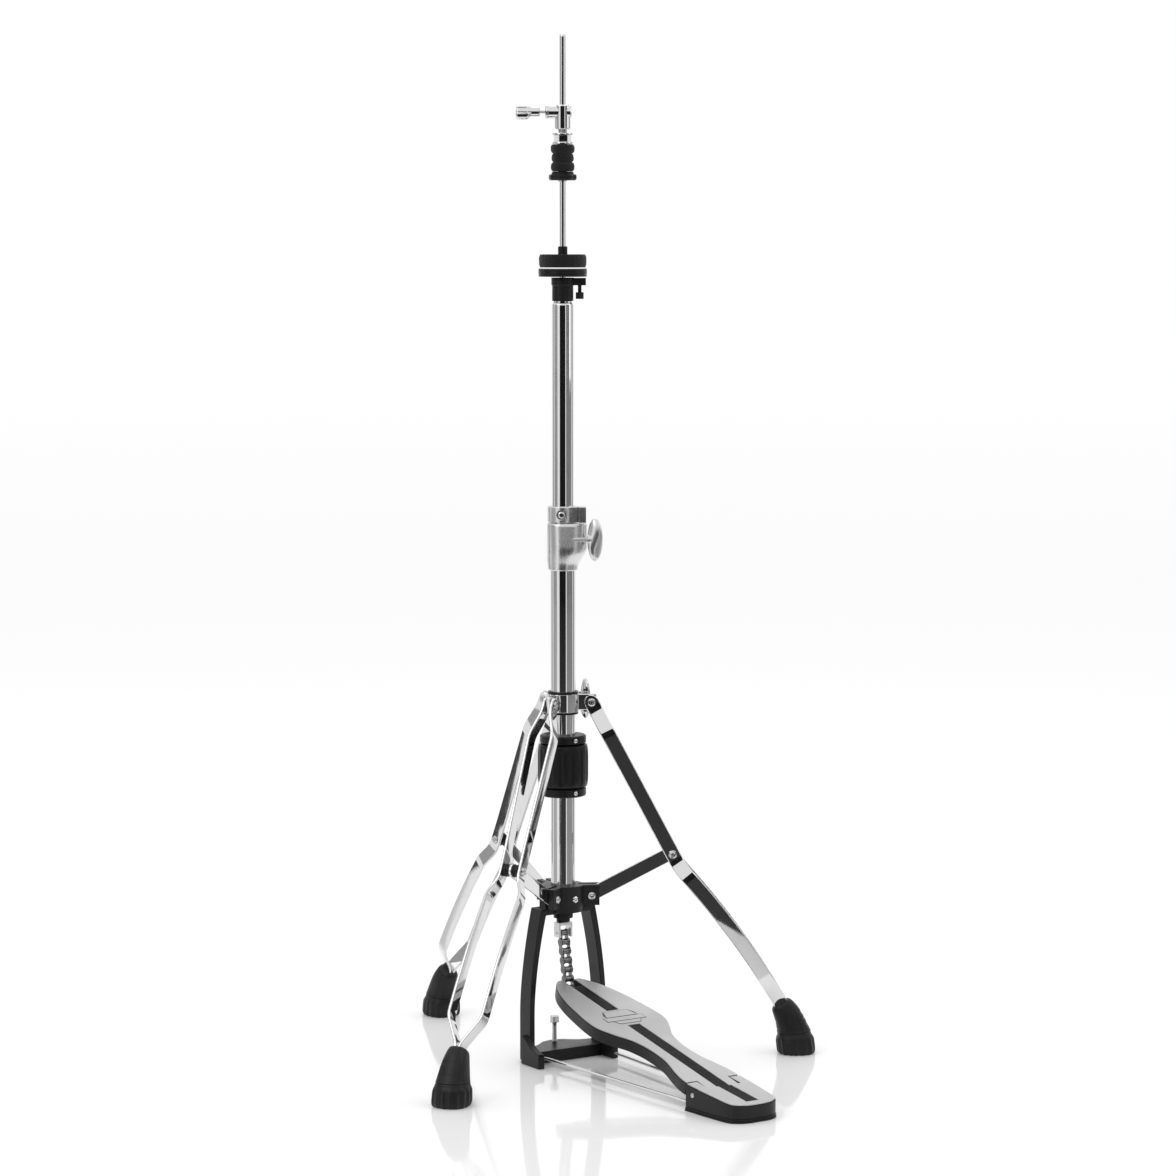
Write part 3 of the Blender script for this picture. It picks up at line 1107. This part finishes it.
def make_footboard():
    """The black footboard, its satin top plate and the pin that holds the chain."""
    place = put(0.0, -HINGE_DISTANCE, HINGE_Z) @ Matrix.Rotation(FOOTBOARD_SLOPE, 4, "X")
    side = footboard_half()
    tongue = [(TONGUE_HALF_WIDTH, TONGUE_START + 0.0010), (TONGUE_HALF_WIDTH, TONGUE_END)]
    slot = [(TOE_SLOT_HALF_WIDTH, 0.0240), (TOE_SLOT_HALF_WIDTH, TOE_DISTANCE)]
    half = footboard_local([*slot, *side, *tongue])
    outline = half + [(-x, y) for x, y in reversed(half)]
    board_top = FOOTBOARD_TOP - PLATE_THICKNESS - GAP
    board_bottom = FOOTBOARD_TOP - FOOTBOARD_DEPTH
    middle = (board_top + board_bottom) / 2
    board = flat("footboard", [outline], board_top - board_bottom, BLACK_METAL,
                 place @ Matrix.Translation((0.0, 0.0, middle)))
    pin_place = put(0.0, -HINGE_DISTANCE, HINGE_Z, math.pi / 2, math.pi / 2)
    hinge_hole = cylinder("cut_hinge_pin", HINGE_PIN_R + GAP, -0.05, 0.05, STEEL, pin_place,
                          cutter=True)
    toe_y, toe_z = toe_pin()
    toe_place = put(0.0, toe_y, toe_z, math.pi / 2, math.pi / 2)
    toe_hole = cylinder("cut_toe_pin", CHAIN_PIN_R + GAP, -0.03, 0.03, STEEL, toe_place, 12, True)
    tail = (HINGE_DISTANCE - TONGUE_END) / math.cos(FOOTBOARD_SLOPE)
    nose = box("cut_tongue_nose", (-0.03, tail - 0.01, board_bottom - 0.01),
               (0.03, tail + 0.0012, -0.0005), STEEL, place, True)
    cut(board, hinge_hole, toe_hole, nose)
    cylinder("chain_pin", CHAIN_PIN_R, -0.0125, 0.0125, STEEL, toe_place, 12)

    edge = 0.0004
    groove = GROOVE_HALF_WIDTH
    plate_side = [(x - edge, d) for x, d in side]
    tongue_side = TONGUE_HALF_WIDTH - edge
    half = footboard_local([(groove, 0.0900), (groove, TOE_DISTANCE), *plate_side,
                            (tongue_side, TONGUE_START), (tongue_side, TONGUE_END),
                            (groove, TONGUE_END), (groove, 0.1270)])
    outline = half + [(-x, y) for x, y in reversed(half)]
    flat("footboard_plate", [outline], PLATE_THICKNESS, SATIN,
         place @ Matrix.Translation((0.0, 0.0, FOOTBOARD_TOP - PLATE_THICKNESS / 2)))


def heel_half(overhang=0.0):
    """The heel's outline on its +X side, as (half width, distance in front of the tube's axis)."""
    wide = HEEL_HALF_WIDTH + overhang
    knots = [(wide, HEEL_FRONT + 0.0006 - overhang), (wide - 0.0014, HEEL_FRONT + 0.030),
             (wide - 0.0042, HEEL_END - 0.015), (wide - 0.0085, HEEL_END - 0.006 + overhang / 2),
             (wide - 0.0190, HEEL_END - 0.0008 + overhang), (0.0, HEEL_END + overhang)]
    return smooth(knots, 3)


def make_heel():
    """The heel base that the footboard hinges on, its satin plate, rubber pad and hinge pin."""
    half = [(x, -d) for x, d in heel_half()]
    outline = half[:-1] + [(-x, y) for x, y in reversed(half)]
    low = HEEL_PAD_HEIGHT + GAP
    high = 0.0300
    base = flat("heel_base", [outline], high - low, BLACK_METAL, put(z=(low + high) / 2))
    slope_place = put(0.0, -HEEL_FRONT, HEEL_TOP_AT_FRONT) @ Matrix.Rotation(HEEL_SLOPE, 4, "X")
    roof = box("cut_heel_roof", (-0.05, -0.10, -PLATE_THICKNESS - GAP), (0.05, 0.02, 0.03), STEEL,
               slope_place, True)
    pocket_end = -TONGUE_END - 0.0024
    pocket_floor = HINGE_Z - (FOOTBOARD_DEPTH - FOOTBOARD_TOP) - 0.0020
    pocket = box("cut_heel_pocket", (-TONGUE_HALF_WIDTH - 0.0005, pocket_end, pocket_floor),
                 (TONGUE_HALF_WIDTH + 0.0005, -HEEL_FRONT + 0.02, 0.05), STEEL, None, True)
    pin_place = put(0.0, -HINGE_DISTANCE, HINGE_Z, math.pi / 2, math.pi / 2)
    pin_hole = cylinder("cut_heel_pin", HINGE_PIN_R + GAP, -0.05, 0.05, STEEL, pin_place, cutter=True)
    cut(base, roof, pocket, pin_hole)
    for side in (-1, 1):
        start, end = radius_rod_points(side)[-2:]
        past = tuple(e + 0.001 * (e - f) / 0.2 for e, f in zip(end, start))
        hole = wire(f"cut_heel_rod_{side}", [start, past], RADIUS_ROD_R + 0.0005, STEEL, None, True)
        cut(base, hole)
    reach = HEEL_HALF_WIDTH - 0.0006
    cylinder("hinge_pin", HINGE_PIN_R, -reach, reach, STEEL, pin_place)

    half = [(x, -d) for x, d in heel_half(HEEL_PAD_OVERHANG)]
    outline = half[:-1] + [(-x, y) for x, y in reversed(half)]
    flat("heel_pad", [outline], HEEL_PAD_HEIGHT, RUBBER, put(z=HEEL_PAD_HEIGHT / 2))

    edge = 0.0006
    clear = TONGUE_HALF_WIDTH + 0.0008
    half = [(x, -d) for x, d in heel_half(-edge)]
    notch = [(clear, pocket_end - 0.0002), (clear, -HEEL_FRONT - edge)]
    local = [(x, (y + HEEL_FRONT) / math.cos(HEEL_SLOPE)) for x, y in [*notch, *half]]
    outline = local[:-1] + [(-x, y) for x, y in reversed(local)]
    flat("heel_plate", [outline], PLATE_THICKNESS, SATIN,
         slope_place @ Matrix.Translation((0.0, 0.0, -PLATE_THICKNESS / 2)))


make_tubes()
make_drum()
make_collar()
make_hub()
for leg_name, leg_azimuth in LEG_AZIMUTHS.items():
    make_leg(leg_name, leg_azimuth)
make_height_clamp()
make_seat()
make_clutch()
make_chain()
make_pedal_frame()
make_footboard()
make_heel()
